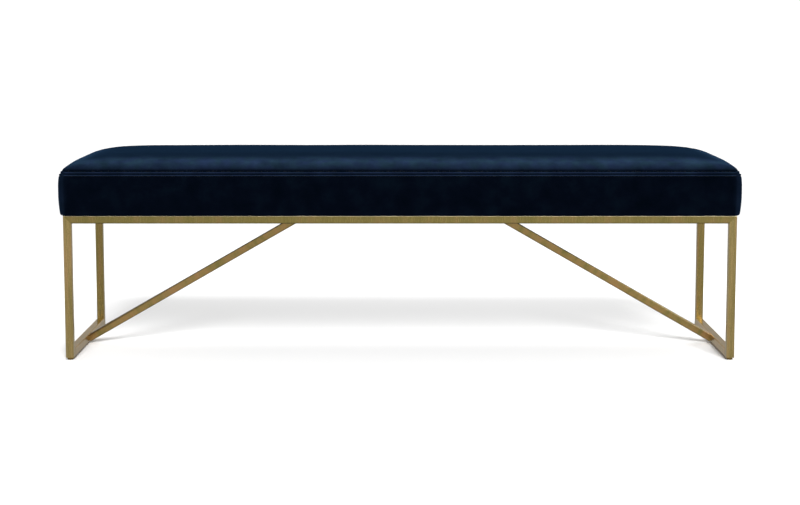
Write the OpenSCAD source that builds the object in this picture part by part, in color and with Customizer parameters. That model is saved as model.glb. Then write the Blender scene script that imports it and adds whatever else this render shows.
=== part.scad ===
// Upholstered bench: a sewn velvet cushion on a welded frame of square tube.
// The origin lies on the floor under the middle of the bench.
// +X runs along the length, the front faces -Y and +Z is up. All sizes are in millimetres.

/* [Frame] */
// Length of the tube frame, outside
frame_l = 1500; // [1100:10:1800]
// Depth of the tube frame, outside
frame_w = 462; // [380:2:600]
// Height of the tube frame, without its glides
frame_h = 321; // [260:1:420]
// Side of the square tube
tube = 18; // [16:0.5:22]
// Wall of every tube
tube_wall = 1.5; // [1:0.1:2]
// Outer corner radius of every tube
tube_r = 2; // [1:0.1:3]
// Distance from the middle of the bench to the middle of each cross rail
cross_x = 194; // [120:1:320]

/* [Braces] */
// Side of the braces' square tube
brace_tube = 17; // [14:0.5:18]
// Height of a brace's centre line above the frame's underside, at the floor rail
brace_foot = 7.5; // [6:0.5:12]

/* [Glides] */
// Diameter of a glide's base
glide_d = 13; // [11:0.5:16]
// Thickness of a glide's base
glide_h = 5; // [4:0.5:8]
// Radius of the rounded lower edge of a glide's base
glide_edge = 1.2; // [0.4:0.1:1.6]
// Diameter of a glide's threaded stud
glide_thread = 6; // [5:1:8]
// How deep a stud sits in its base
glide_sunk = 3; // [2:0.5:3.5]
// How far a glide screws out from its seat
glide_travel = 10; // [4:1:12]
// Thickness of the threaded insert in the end of each leg
insert_h = 12; // [8:1:16]
// Corner radius of the threaded inserts
insert_r = 1.5; // [1:0.1:3]
// Gap between a stud and its thread, on the radius
thread_gap = 0.05; // [0.02:0.01:0.1]

/* [Seat base] */
// Thickness of the plywood deck
deck_h = 15; // [12:1:20]
// Chamfer under the deck's edge
deck_ease = 3; // [1:0.5:4]
// Thickness of the dust cover
dust_t = 0.5; // [0.3:0.1:1]
// How far the dust cover stops short of the frame's outside
dust_in = 2; // [1:0.5:4]

/* [Cushion] */
// How far the cushion bulges past the frame, all round
seat_over = 10; // [8:0.5:20]
// Corner radius of the cushion, seen from above
seat_r = 16; // [12:1:30]
// Height of the side band, from the frame to the seam
band_h = 93; // [70:1:130]
// How much the side band bulges between its edges
band_bulge = 3.5; // [1:0.5:6]
// Radius at which the side band rolls under the deck
band_roll = 5; // [4:0.5:6]
// Width of the cover that is turned under the deck
turn_under = 40; // [30:1:60]
// Thickness of the cover
cover_t = 1.5; // [1:0.1:2]
// How far the seam is drawn in from the line of the band
seam_in = 1.3; // [0.5:0.1:3]
// Distance from the seam to each row of top-stitching
stitch_off = 5; // [3:0.5:8]
// How far the cover is drawn in from the seam to the upper row of stitching
shoulder = 3.7; // [2:0.1:6]
// How far the cover puffs out between the stitching and the seam
seam_puff = 0.8; // [0.2:0.1:1.5]
// Height of the rounded roll beside the seam
roll_h = 11; // [6:0.5:20]
// Width of the rounded roll beside the seam
roll_w = 19; // [12:0.5:40]
// Height of the broad crown above the roll
crown_h = 23.5; // [5:0.5:40]
// Thickness of the batting round the foam
batting_t = 6; // [4:0.5:10]
// Gap between soft layers
soft_gap = 0.3; // [0.2:0.05:0.5]

/* [Seat fixings] */
// Diameter of the seat screws
screw_d = 6; // [5:1:6]
// Length of the seat screws under the head
screw_l = 35; // [32:1:36]
// Diameter of the button heads
head_d = 10.5; // [9:0.5:11]
// Height of the button heads
head_h = 3.3; // [2.5:0.1:3.5]
// Size across the flats of the hexagon sockets
socket_af = 4; // [3:0.5:4]
// Depth of the hexagon sockets
socket_h = 2; // [1.5:0.1:2.2]
// Diameter of the washers
washer_d = 12; // [11:0.5:12]
// Thickness of the washers
washer_t = 1.6; // [1:0.1:2]
// Distance from the middle of the bench's depth to each screw
screw_y = 130; // [80:1:150]
// Clearance of the screw holes, on the diameter
hole_gap = 0.6; // [0.4:0.1:1]
// Diameter of the flanged nuts' flanges
tee_flange_d = 18; // [16:0.5:20]
// Thickness of the flanged nuts' flanges
tee_flange_t = 1.5; // [1:0.1:2]
// Diameter of the flanged nuts' barrels
tee_barrel_d = 8; // [7.5:0.1:9]
// Length of the flanged nuts' barrels
tee_barrel_l = 8.5; // [7:0.5:9]

/* [Hidden] */
$fn = 48;

BRASS = [0.55, 0.47, 0.28];
VELVET = [0.05, 0.10, 0.20];
ZINC = [0.75, 0.76, 0.78];

// Levels above the floor
frame_z = glide_h;
frame_top = frame_z + frame_h;
seat_z = frame_top + dust_t;
deck_z = seat_z + cover_t;
deck_top = deck_z + deck_h;
seam_z = seat_z + band_h;
stitch_z = seam_z + stitch_off;

// Centre lines of the tubes
rail_x = frame_l / 2 - tube / 2;
rail_y = frame_w / 2 - tube / 2;
between_x = frame_l - 2 * tube;
between_y = frame_w - 2 * tube;
top_rail_z = frame_top - tube / 2;
floor_rail_z = frame_z + tube / 2;
tube_bore = tube - 2 * tube_wall;

// Brace, from the outer face of its cross rail to the inner face of its floor rail
brace_x0 = cross_x + tube / 2;
brace_x1 = frame_l / 2 - tube;
brace_z0 = top_rail_z;
brace_z1 = frame_z + brace_foot;
brace_slope = atan2(brace_z0 - brace_z1, brace_x1 - brace_x0);
brace_run = norm([brace_x1 - brace_x0, brace_z0 - brace_z1]);

// Glides: the stud stays within its insert's whole thread at full travel
stud_r = glide_thread / 2;
stud_up = insert_h + glide_travel;

// Cushion outlines
half_l = frame_l / 2 + seat_over;
half_w = frame_w / 2 + seat_over;
seam_e = band_bulge + seam_in;
stitch_e = seam_e + shoulder;
crown_l = half_l - stitch_e;
crown_w = half_w - stitch_e;
crown_flat_x = 14;
crown_flat_y = 5.2;
roll_round = 1.8;

// Depths of the soft layers under the outer surface of the cover
batting_in = cover_t + soft_gap;
foam_in = batting_in + batting_t + soft_gap;

// Screws pass up through the end rails and the cross rails into the deck
screw_places = [for (x = [-rail_x, -cross_x, cross_x, rail_x], y = [-screw_y, screw_y]) [x, y]];
edge_screw_places = [for (x = [-rail_x, rail_x], y = [-screw_y, screw_y]) [x, y]];
screw_seat_z = top_rail_z - tube / 2 - washer_t;
hole_d = screw_d + hole_gap;

module rounded_rect(l, w, r) {
    square([l - 2 * r, w], center = true);
    square([l, w - 2 * r], center = true);
    for (x = [-1, 1], y = [-1, 1])
        translate([x * (l / 2 - r), y * (w / 2 - r)]) circle(r);
}

// Section of a square tube, hollow, with rounded corners
module tube_section(side) {
    bore = side - 2 * tube_wall;
    difference() {
        rounded_rect(side, side, tube_r);
        rounded_rect(bore, bore, max(tube_r - tube_wall, 0.3));
    }
}

module tube_x(length, side) {
    rotate([90, 0, 90]) linear_extrude(length, center = true) tube_section(side);
}

module tube_y(length, side) {
    rotate([90, 0, 0]) linear_extrude(length, center = true) tube_section(side);
}

module tube_z(length, side) {
    linear_extrude(length) tube_section(side);
}

// A block on one side of the mitre plane, which leans 45 degrees through the origin.
// With up = -1 it lies below the plane, with up = 1 above it.
module mitre_block(up) {
    block = 4 * tube;
    rotate([0, -45, 0]) translate([0, 0, up * block / 2]) cube(block, center = true);
}

// Long top rail, mitred at both ends to the legs
module top_rail(side_y) {
    color(BRASS) translate([0, side_y * rail_y, 0]) difference() {
        translate([0, 0, top_rail_z]) tube_x(frame_l, tube);
        for (m = [0, 1])
            mirror([m, 0, 0]) translate([frame_l / 2, 0, frame_top]) mitre_block(-1);
    }
}

// Leg, mitred at the top and open at the bottom
module leg(side_x, side_y) {
    color(BRASS) mirror([side_x < 0 ? 1 : 0, 0, 0]) difference() {
        translate([rail_x, side_y * rail_y, frame_z]) tube_z(frame_h, tube);
        translate([frame_l / 2, side_y * rail_y, frame_top]) mitre_block(1);
    }
}

module screw_holes(places) {
    for (p = places)
        translate([p.x, p.y, screw_seat_z]) cylinder(h = seam_z - screw_seat_z, d = hole_d);
}

// Rail across the depth, under the seat, drilled for the seat screws
module seat_rail(x) {
    color(BRASS) difference() {
        translate([x, 0, top_rail_z]) tube_y(between_y, tube);
        screw_holes([for (p = screw_places) if (p.x == x) p]);
    }
}

// Rail near the floor between a front leg and a rear leg
module floor_rail(x) {
    color(BRASS) translate([x, 0, floor_rail_z]) tube_y(between_y, tube);
}

// Sloping brace in the middle of the depth. Its ends are cut upright where it is welded to the rails,
// and level where it would stand past the frame's top and underside.
module brace(side_x) {
    level_top = frame_top;
    level_foot = frame_z;
    spare = 2 * brace_tube;
    color(BRASS) mirror([side_x < 0 ? 1 : 0, 0, 0]) intersection() {
        translate([(brace_x0 + brace_x1) / 2, 0, (brace_z0 + brace_z1) / 2])
            rotate([0, brace_slope, 0]) tube_x(brace_run + 2 * spare, brace_tube);
        translate([brace_x0, -brace_tube, level_foot])
            cube([brace_x1 - brace_x0, 2 * brace_tube, level_top - level_foot]);
    }
}

// Square threaded plugs, fixed flush in the open ends of the legs
module leg_inserts() {
    color(ZINC) for (x = [-rail_x, rail_x], y = [-rail_y, rail_y])
        translate([x, y, frame_z]) linear_extrude(insert_h) difference() {
            rounded_rect(tube_bore, tube_bore, insert_r);
            circle(stud_r + thread_gap);
        }
}

// Round base of a glide, with a rounded lower edge and a blind hole for its stud
module glide_base(side_x, side_y) {
    r = glide_d / 2;
    color(BRASS) translate([side_x * rail_x, side_y * rail_y, 0]) difference() {
        union() {
            translate([0, 0, glide_edge]) cylinder(h = glide_h - glide_edge, r = r);
            cylinder(h = glide_edge, r = r - glide_edge);
            translate([0, 0, glide_edge]) rotate_extrude()
                translate([r - glide_edge, 0]) intersection() {
                    circle(glide_edge);
                    translate([0, -glide_edge]) square(glide_edge);
                }
        }
        translate([0, 0, glide_h - glide_sunk]) cylinder(h = glide_h, r = stud_r);
    }
}

// Threaded stud of a glide, fixed in its base, with a chamfered tip
module glide_stud(side_x, side_y) {
    tip = stud_r / 3;
    length = glide_sunk + stud_up;
    section = [[0, 0], [stud_r, 0], [stud_r, length - tip], [stud_r - tip, length], [0, length]];
    color(ZINC) translate([side_x * rail_x, side_y * rail_y, glide_h - glide_sunk])
        rotate_extrude() polygon(section);
}

// Half of the deck's section, chamfered along its lower edge
function eased_half(half) = [
    [0, 0], [half - deck_ease, 0], [half, deck_ease], [half, deck_h], [0, deck_h]
];

module eased_bar(length, width) {
    rotate([90, 0, 90]) linear_extrude(length, center = true)
        for (m = [0, 1]) mirror([m, 0]) polygon(eased_half(width / 2));
}

// Plate with rounded corners, chamfered all round its lower edge
module eased_plate(length, width, r) {
    eased_bar(length - 2 * r, width);
    rotate([0, 0, 90]) eased_bar(width - 2 * r, length);
    for (x = [-1, 1], y = [-1, 1])
        translate([x * (length / 2 - r), y * (width / 2 - r), 0]) rotate_extrude() polygon(eased_half(r));
}

// Plywood deck with counterbored holes for the flanged nuts
module seat_deck() {
    inset = band_bulge + batting_in;
    length = 2 * (half_l - inset);
    width = 2 * (half_w - inset);
    color("burlywood") difference() {
        translate([0, 0, deck_z]) eased_plate(length, width, seat_r - batting_in);
        screw_holes(screw_places);
        for (p = screw_places) translate([p.x, p.y, deck_top]) {
            translate([0, 0, -tee_flange_t]) cylinder(h = deck_h, d = tee_flange_d);
            translate([0, 0, -tee_flange_t - tee_barrel_l]) cylinder(h = deck_h, d = tee_barrel_d);
        }
    }
}

// Flanged nuts, pressed flush into the top of the deck
module tee_nuts() {
    color(ZINC) for (p = screw_places) translate([p.x, p.y, deck_top]) difference() {
        union() {
            translate([0, 0, -tee_flange_t]) cylinder(h = tee_flange_t, d = tee_flange_d);
            translate([0, 0, -tee_flange_t - tee_barrel_l]) cylinder(h = tee_barrel_l, d = tee_barrel_d);
        }
        translate([0, 0, -deck_h]) cylinder(h = 2 * deck_h, r = screw_d / 2 + thread_gap);
    }
}

// Button-head screws with hexagon sockets, driven up from below
module seat_screws() {
    head_r = head_d / 2;
    cap_r = (head_r * head_r + head_h * head_h) / (2 * head_h);
    socket_r = socket_af / 2 / cos(30);
    color(ZINC) for (p = screw_places) translate([p.x, p.y, screw_seat_z]) difference() {
        union() {
            cylinder(h = screw_l, d = screw_d);
            intersection() {
                translate([0, 0, cap_r - head_h]) sphere(cap_r);
                translate([-head_d, -head_d, -head_h]) cube([2 * head_d, 2 * head_d, head_h]);
            }
        }
        translate([0, 0, -head_h]) cylinder(h = socket_h, r = socket_r, $fn = 6);
    }
}

module seat_washers() {
    color(ZINC) for (p = screw_places) translate([p.x, p.y, screw_seat_z])
        linear_extrude(washer_t) difference() {
            circle(d = washer_d);
            circle(d = hole_d);
        }
}

// Black cloth over the underside of the seat, between the cover and the frame
module dust_cover() {
    length = frame_l - 2 * dust_in;
    width = frame_w - 2 * dust_in;
    color([0.1, 0.1, 0.1]) difference() {
        translate([0, 0, frame_top]) linear_extrude(dust_t) rounded_rect(length, width, seat_r / 2);
        screw_holes(screw_places);
    }
}

// The cushion's layers are lofts through rings. A ring is the cushion's outline drawn in by e at some height,
// and the ring of a layer that lies d under the cover's outer surface is drawn in by d more.
// Every ring has its points at the same places round the outline.

// Places along half a straight side, as shares of it, closer together near the corner
long_steps = [0, 0.5, 0.78, 0.9, 0.97];
short_steps = [0, 0.5, 0.85];
corner_steps = [0, 22.5, 45, 67.5, 90];

// One quarter of the outline, from the middle of the +X end to the middle of the rear side
function quarter(e, d) = let (
    r = seat_r - d,
    x = half_l - e - d - r,
    y = half_w - e - d - r
) concat(
    [for (k = short_steps) [x + r, y * k]],
    [for (a = corner_steps) [x + r * cos(a), y + r * sin(a)]],
    [for (i = [len(long_steps) - 1 : -1 : 0]) [x * long_steps[i], y + r]]
);

// The whole outline, anticlockwise from above: the quarter mirrored round, without the shared points
function outline(e, d) = let (
    q = quarter(e, d),
    n = len(q)
) concat(
    q,
    [for (i = [n - 2 : -1 : 0]) [-q[i].x, q[i].y]],
    [for (i = [1 : n - 1]) [-q[i].x, -q[i].y]],
    [for (i = [n - 2 : -1 : 1]) [q[i].x, -q[i].y]]
);

function level_ring(e, d, z) = [for (p = outline(e, d)) [p.x, p.y, z]];

// How far the side band is drawn in at a height above the underside of the seat
function band_e(h) = band_bulge * pow(2 * h / band_h - 1, 2);

// Height of the crown above the upper row of stitching: a roll beside the seam, then a broad dome
function roll_share(run) = pow(1 - pow(1 - min(run / roll_w, 1), roll_round), 1 / roll_round);
function flat_top(share, power) = 1 - pow(min(abs(share), 1), power);
function dome(p) = flat_top(p.x / crown_l, crown_flat_x) * flat_top(p.y / crown_w, crown_flat_y);
function crown(p, run) = roll_share(run) * (roll_h + crown_h * dome(p));

function crown_ring(run, d) = [
    for (p = outline(stitch_e + run, d)) [p.x, p.y, stitch_z - d + crown(p, run)]
];

// Runs of the crown's rings, from the stitching to the middle of the depth
spine = crown_w - seat_r - 1;
crown_runs = concat(roll_w * [0.1, 0.32, 0.65, 1], spine * [0.3, 0.6, 1]);

function reversed(list) = [for (i = [len(list) - 1 : -1 : 0]) list[i]];

// Rings from the seam over the roll to the middle of the seat
function top_rings(d) = concat(
    [level_ring(seam_e, d, seam_z - d), level_ring(stitch_e, d, stitch_z - d)],
    [for (run = crown_runs) crown_ring(run, d)]
);

// Rings of a layer round the foam, from the deck up the side and over the top
function layer_rings(d, foot_z) = concat(
    [level_ring(band_e(foot_z - seat_z), d, foot_z)],
    [level_ring(band_e(band_h / 2), d, seat_z + band_h / 2)],
    [level_ring(band_e(band_h - stitch_off), d, seat_z + band_h - stitch_off - d)],
    top_rings(d)
);

// Rings of the roll under the deck's edge, on the face that lies t inside the cover's outer face
function roll_rings(t) = [
    for (a = [0, 30, 60, 90]) let (r = band_roll - t)
        level_ring(band_e(band_roll), band_roll - r * sin(a), seat_z + band_roll - r * cos(a))
];

// Closed solid through a list of rings. Strips across the depth close its first and last rings,
// or the last ring joins the first where the solid is a loop.
// Each patch between four points folds along its shorter diagonal, so that nested layers fold alike.
module loft(rings, loop = false) {
    points = [for (r = rings) each r];
    n = len(rings[0]);
    m = len(rings);
    last = (m - 1) * n;
    walls = [for (j = [0 : loop ? m - 1 : m - 2], i = [0 : n - 1]) let (
        a = j * n + i,
        b = j * n + (i + 1) % n,
        c = (j + 1) % m * n + (i + 1) % n,
        d = (j + 1) % m * n + i
    ) each norm(points[a] - points[c]) <= norm(points[b] - points[d])
        ? [[a, d, c], [a, c, b]]
        : [[a, d, b], [b, d, c]]];
    half = n / 2;
    end = len(short_steps);
    strips = concat(
        [for (k = [-end : end - 1]) [(n + k) % n, (n + k + 1) % n, end + 1]],
        [[n - end - 1, n - end, end + 1]],
        [for (i = [end + 1 : half - end - 2]) each [[i, i + 1, n - i - 1], [i, n - i - 1, n - i]]],
        [[half - end - 1, half + end, half + end + 1]],
        [for (k = [-end : end - 1]) [half + k, half + k + 1, half - end - 1]]
    );
    top = [for (t = strips) [last + t.z, last + t.y, last + t.x]];
    polyhedron(points, loop ? walls : concat(walls, strips, top));
}

// Foam block, glued to the deck
module foam_core() {
    color("khaki") loft(layer_rings(foam_in, deck_top));
}

// Soft wadding over the top and the sides of the foam
module batting_wrap() {
    foot = deck_top + soft_gap;
    inner = layer_rings(batting_in + batting_t, foot);
    color("white") loft(concat(reversed(inner), layer_rings(batting_in, foot)));
}

// Crowned upper panel of the cover, puffed out between the seam and its row of top-stitching
module cover_top_panel() {
    outer = top_rings(0);
    puff_e = (seam_e + stitch_e) / 2 - seam_puff;
    puff_z = (seam_z + stitch_z) / 2 + seam_puff;
    puffed = concat([outer[0], level_ring(puff_e, 0, puff_z)], [for (i = [1 : len(outer) - 1]) outer[i]]);
    color(VELVET) loft(concat(reversed(top_rings(cover_t)), puffed));
}

// Side band of the cover, which bulges, rolls under the deck's edge and lies flat below the deck
module cover_band() {
    low_h = band_h - stitch_off;
    low_e = band_e(low_h);
    edge_e = band_bulge + turn_under;
    rim_z = seam_z - soft_gap;
    heights = [band_h * 0.25, band_h * 0.5, band_h * 0.75, low_h];
    outer = concat(
        [level_ring(edge_e, 0, seat_z)],
        roll_rings(0),
        [for (h = heights) level_ring(band_e(h), 0, seat_z + h)],
        [level_ring((low_e + seam_e) / 2 - seam_puff, 0, seam_z - stitch_off / 2)],
        [level_ring(seam_e, 0, rim_z)]
    );
    inner = concat(
        [level_ring(edge_e - cover_t, cover_t, deck_z)],
        roll_rings(cover_t),
        [for (h = heights) level_ring(band_e(h), cover_t, seat_z + h)],
        [level_ring(seam_e, cover_t, rim_z - cover_t)]
    );
    color(VELVET) difference() {
        loft(concat(outer, reversed(inner)), loop = true);
        screw_holes(edge_screw_places);
    }
}

top_rail(-1);  // front_top_rail
top_rail(1);  // rear_top_rail
leg(-1, -1);  // front_left_leg
leg(1, -1);  // front_right_leg
leg(-1, 1);  // rear_left_leg
leg(1, 1);  // rear_right_leg
seat_rail(-rail_x);  // left_end_rail
seat_rail(rail_x);  // right_end_rail
floor_rail(-rail_x);  // left_floor_rail
floor_rail(rail_x);  // right_floor_rail
seat_rail(-cross_x);  // left_cross_rail
seat_rail(cross_x);  // right_cross_rail
brace(-1);  // left_brace
brace(1);  // right_brace
leg_inserts();
glide_base(-1, -1);  // front_left_glide_base
glide_base(1, -1);  // front_right_glide_base
glide_base(-1, 1);  // rear_left_glide_base
glide_base(1, 1);  // rear_right_glide_base
glide_stud(-1, -1);  // front_left_glide_stud
glide_stud(1, -1);  // front_right_glide_stud
glide_stud(-1, 1);  // rear_left_glide_stud
glide_stud(1, 1);  // rear_right_glide_stud
seat_deck();
tee_nuts();
seat_screws();
seat_washers();
foam_core();
batting_wrap();
cover_top_panel();
cover_band();
dust_cover();
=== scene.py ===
import math
from collections import namedtuple

import bmesh
import bpy
from mathutils import Matrix, Vector, noise
from mathutils.bvhtree import BVHTree


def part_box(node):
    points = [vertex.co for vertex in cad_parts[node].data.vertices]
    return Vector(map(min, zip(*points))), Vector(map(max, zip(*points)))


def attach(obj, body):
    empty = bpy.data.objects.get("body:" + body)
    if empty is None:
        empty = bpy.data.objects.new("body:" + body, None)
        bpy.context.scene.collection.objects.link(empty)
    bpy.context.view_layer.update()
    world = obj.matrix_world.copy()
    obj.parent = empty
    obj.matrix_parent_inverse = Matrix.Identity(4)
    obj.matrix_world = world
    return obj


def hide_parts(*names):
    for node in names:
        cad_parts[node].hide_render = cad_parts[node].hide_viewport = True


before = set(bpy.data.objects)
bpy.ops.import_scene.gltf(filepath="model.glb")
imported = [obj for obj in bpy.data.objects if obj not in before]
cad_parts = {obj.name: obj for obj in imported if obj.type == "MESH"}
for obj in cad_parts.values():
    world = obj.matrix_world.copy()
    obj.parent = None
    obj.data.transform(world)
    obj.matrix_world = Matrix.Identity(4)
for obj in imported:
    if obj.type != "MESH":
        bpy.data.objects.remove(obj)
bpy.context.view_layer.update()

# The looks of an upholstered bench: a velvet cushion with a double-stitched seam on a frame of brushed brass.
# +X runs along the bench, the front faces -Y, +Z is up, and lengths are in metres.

MM = 0.001
BODY = "frame"
CORNERS = ("front_left", "front_right", "rear_left", "rear_right")

# Camera and light

CAMERA_PLACE = (0, -4.4139, 0.7694)
CAMERA_TILT = math.radians(90 - 7.168)
CAMERA_LENS = 85.14

KEY_ELEVATION = math.radians(33.5)
KEY_TURN = math.radians(6)
KEY_SOFTNESS = math.radians(24)
KEY_STRENGTH = 4.9

BACK_PLACE = (0.3, 1.6, 2.2)
BACK_SIZE = (2.6, 0.8)
BACK_POWER = 42

STRIP_PLACE = (1.0, -4.9, 1.05)
STRIP_SIZE = (2.4, 0.5)
STRIP_POWER = 9.5

FLOOR_HALF = 60
SURROUND_STRENGTH = 1.1
SURROUND = [(0.0, "707070"), (0.22, "7c7c7c"), (0.33, "b1b1b1"), (0.47, "b1b1b1"), (0.49, "ffffff"),
            (0.51, "ffffff"), (0.53, "b2b2b2")]

# Tubes of the frame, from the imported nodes

RAIL_LOW, RAIL_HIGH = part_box("front_top_rail")
TUBE = RAIL_HIGH.y - RAIL_LOW.y
FRAME_TOP = RAIL_HIGH.z
FRAME_L = RAIL_HIGH.x - RAIL_LOW.x
FRAME_W = 2 * -RAIL_LOW.y
CROSS_X = (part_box("right_cross_rail")[0].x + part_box("right_cross_rail")[1].x) / 2

# Seat screws, staples and the dust cover, which sags, but not as near as SAG_IN to its staples

SCREW_X = (TUBE / 2 - FRAME_L / 2, -CROSS_X, CROSS_X, FRAME_L / 2 - TUBE / 2)
SCREW_Y = 130 * MM
SCREW_HOLE_R = 3.6 * MM
SCREW_HOLE_CUT = 1.5 * MM
STAPLE_IN = 26 * MM
STAPLE_GAP = 42 * MM
STAPLE_L = 10 * MM
STAPLE_LEG = 6 * MM
STAPLE_WIRE = 0.7 * MM
DUST_SAG = 2.2 * MM
SAG_IN = 6 * MM
DUST_T = 0.4 * MM

# Cushion, with the sizes of the solids that its pieces stand for

DECK_LOW, DECK_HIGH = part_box("seat_deck")
BAND_LOW, BAND_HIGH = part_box("cover_band")
HALF_L = BAND_HIGH.x
HALF_W = BAND_HIGH.y
SEAT_Z = BAND_LOW.z
CORNER_R = 16 * MM
SEAM_Z = BAND_HIGH.z + 0.3 * MM
BAND_H = SEAM_Z - SEAT_Z
BAND_BULGE = 3.5 * MM
BAND_ROLL = 5 * MM
BAND_SAG = 0.55 * MM
TURN_UNDER = 40 * MM
SEAM_IN = 1.3 * MM
STITCH_OFF = 5 * MM
SHOULDER = 3.7 * MM
COVER_T = 1.2 * MM
COVER_T_CAD = 1.5 * MM
BATTING_T = 6 * MM
SOFT_GAP = 0.3 * MM

SEAM_E = BAND_BULGE + SEAM_IN
STITCH_E = SEAM_E + SHOULDER
STITCH_Z = SEAM_Z + STITCH_OFF
LOW_STITCH_H = BAND_H - STITCH_OFF

ROLL_H = 11 * MM
ROLL_W = 19 * MM
ROLL_ROUND = 1.8
CROWN_H = 23.5 * MM
CROWN_L = HALF_L - STITCH_E
CROWN_W = HALF_W - STITCH_E
CROWN_FLAT_X = 16.5
CROWN_FLAT_Y = 5.2

SEAM_PUFF = 1.3 * MM
SEAM_TUCK = 3 * MM
TUCK_GAP = 0.1 * MM
GROOVE = 1.2 * MM
GROOVE_W = 3 * MM
THREAD = 0.7 * MM
THREAD_OUT = 0.15 * MM
THREAD_UP = 0.1 * MM
STITCH_L = 4 * MM

# Painted highlight on the velvet, a lighter blue mixed into its colour, from 0, none, to about 1, the most. Between the
# seam and each row of stitches it peaks at a share of the way up, and has the second value there.

LOWER_SEAM_HIGHLIGHT = (0.35, 1.2)
UPPER_SEAM_HIGHLIGHT = (0.22, 0.9)
SEAM_HIGHLIGHT_W = 0.085

# Over the crown it peaks just past the roll, and fades below and above that. None is painted close to the stitching.

ROLL_HIGHLIGHT = 0.75
ROLL_HIGHLIGHT_AT = 2 * MM
ROLL_HIGHLIGHT_BELOW = 18 * MM
ROLL_HIGHLIGHT_ABOVE = 29 * MM
STITCH_SHADE = 3.5 * MM

# Round the side band's upright corners the painted highlight is even, up to CORNER_IN from the outermost lines, where
# it eases off.

CORNER_HIGHLIGHT = 0.13
CORNER_IN = 18 * MM
CORNER_EASE = 6 * MM

# Blowing up the cover: how much smaller it starts, how far it may move out and in, how near the seam it is held, and
# over what height it comes free. Then the size of its voxels, the cloth's settings, and how strongly the foam holds
# it, which drifts from place to place.

SWELL = 0.2 * MM
SWELL_MOST = 2.5 * MM
SINK_MOST = 0.2 * MM
SEWN = 7 * MM
SEWN_EASE = 12 * MM
VOXEL = 6 * MM
PRESSURE = 4
CLOTH_FRAMES = 20
CLOTH_QUALITY = 3
HOLD = 0.16
HOLD_DRIFT = 0.03
HOLD_PATCH = 0.15

# Steps of the cover's grid: along a long side, along a short side and round a corner, then up its profile. That goes
# from under the seat round the deck's edge, up the side, into the groove of the stitches and on to the seam, where it
# is tucked in, and from the seam over the roll to the middle of the top.

LONG_COLUMNS = 188
SHORT_COLUMNS = 56
CORNER_COLUMNS = 10
UNDER_STEPS = 4
EDGE_STEPS = 8
SIDE_STEPS = 14
GROOVE_STEPS = 5
SEAM_STEPS = 9
TUCK_STEPS = 3
ROLL_STEPS = 14
TOP_STEPS = 30


def srgb(hex_value):
    """The linear colour of an sRGB hex value such as "9c8b53"."""
    parts = [int(hex_value[i:i + 2], 16) / 255 for i in (0, 2, 4)]
    return (*[p / 12.92 if p <= 0.04045 else ((p + 0.055) / 1.055) ** 2.4 for p in parts], 1)


def add(tree, kind, inputs=None, stops=(), **settings):
    """Adds a node with its settings. An input is a value, or the output of another node that it is linked to.
    The stops of a colour ramp are (place, hex colour)."""
    node = tree.nodes.new("ShaderNode" + kind)
    for name, value in settings.items():
        setattr(node, name, value)
    for socket, value in (inputs or {}).items():
        if isinstance(value, bpy.types.NodeSocket):
            tree.links.new(value, node.inputs[socket])
        else:
            node.inputs[socket].default_value = value
    for number, (place, colour) in enumerate(stops):
        elements = node.color_ramp.elements
        element = elements[number] if number < len(elements) else elements.new(place)
        element.position = place
        element.color = srgb(colour)
    return node


def new_material(name):
    """A material without nodes, and its node tree."""
    material = bpy.data.materials.new(name)
    material.use_nodes = True
    tree = material.node_tree
    tree.nodes.clear()
    return material, tree


Brushing = namedtuple("Brushing", "tones clouds crosswise rubbed shiny glancing tarnish",
                      defaults=(0.1, (0.2, 0.32), "ffffff", 0.0))


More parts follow.
